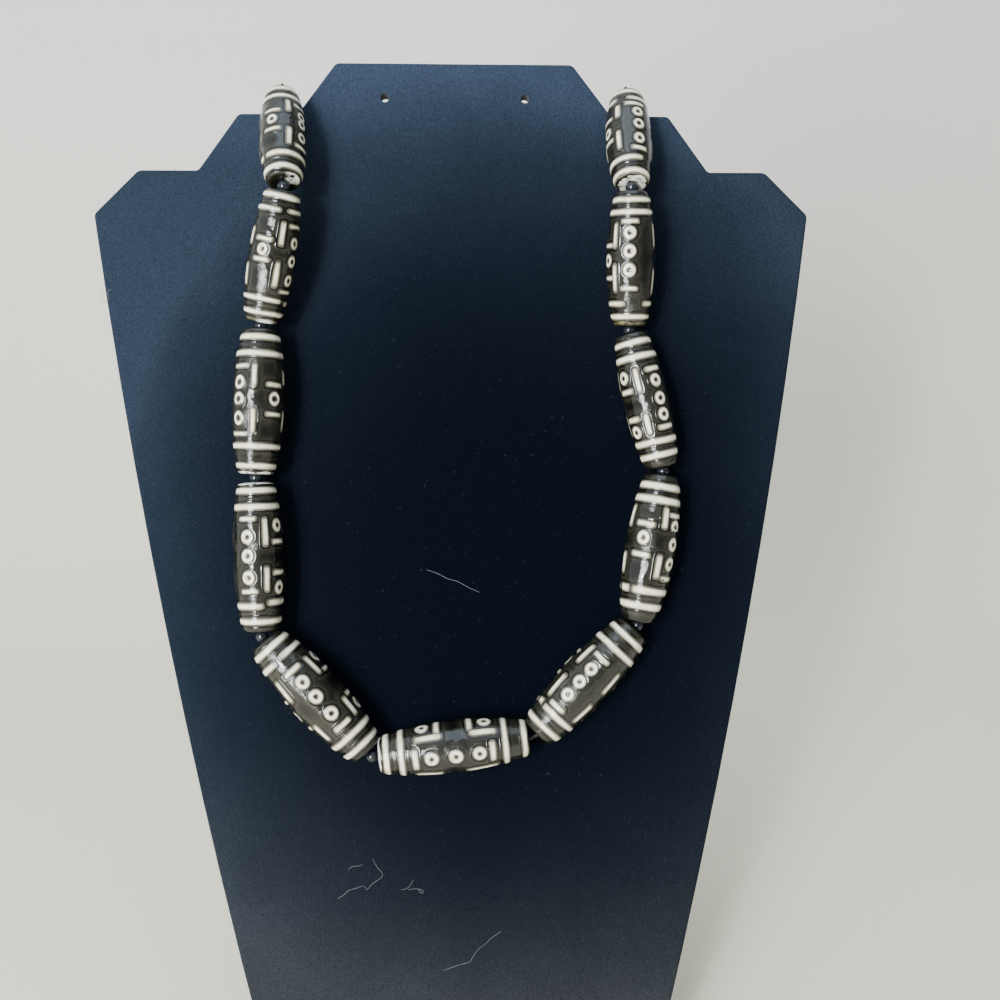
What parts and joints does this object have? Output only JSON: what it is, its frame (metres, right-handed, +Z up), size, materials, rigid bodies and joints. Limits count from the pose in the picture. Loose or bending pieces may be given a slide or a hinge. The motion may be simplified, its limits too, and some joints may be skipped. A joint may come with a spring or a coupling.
{
  "type": "glass bead necklace on display stand",
  "caption": "Necklace of patterned glass barrel beads and small round spacers on a thread, hung on a leaning stepped display board.",
  "frame": {"origin": "middle of the board's foot, on the surface that the stand rests on", "axes": "+Z up, +X to the right seen from the front, the board and necklace face -Y and lean back towards +Y"},
  "size_m": [0.196, 0.1173, 0.2801],
  "materials": {
    "velvet": "short-pile velvet",
    "black_card": "matt paper-covered board",
    "patterned_glass": "opaque dark glass with trailed white lines and eyes, glossy",
    "black_glass": "opaque black glass, glossy",
    "thread": "black beading thread",
    "clasp_metal": "plain"
  },
  "bodies": {
    "root": {"velvet_board": "velvet", "easel_leg": "black_card", "thread": "thread", "clasp": "clasp_metal", "bead_01": "patterned_glass", "bead_02": "patterned_glass", "bead_03": "patterned_glass", "bead_04": "patterned_glass", "bead_05": "patterned_glass", "bead_06": "patterned_glass", "bead_07": "patterned_glass", "bead_08": "patterned_glass", "bead_09": "patterned_glass", "bead_10": "patterned_glass", "bead_11": "patterned_glass", "bead_12": "patterned_glass", "bead_13": "patterned_glass", "spacer_01": "black_glass", "spacer_02": "black_glass", "spacer_03": "black_glass", "spacer_04": "black_glass", "spacer_05": "black_glass", "spacer_06": "black_glass", "spacer_07": "black_glass", "spacer_08": "black_glass", "spacer_09": "black_glass", "spacer_10": "black_glass", "spacer_11": "black_glass", "spacer_12": "black_glass", "spacer_13": "black_glass"}
  },
  "joints": []
}
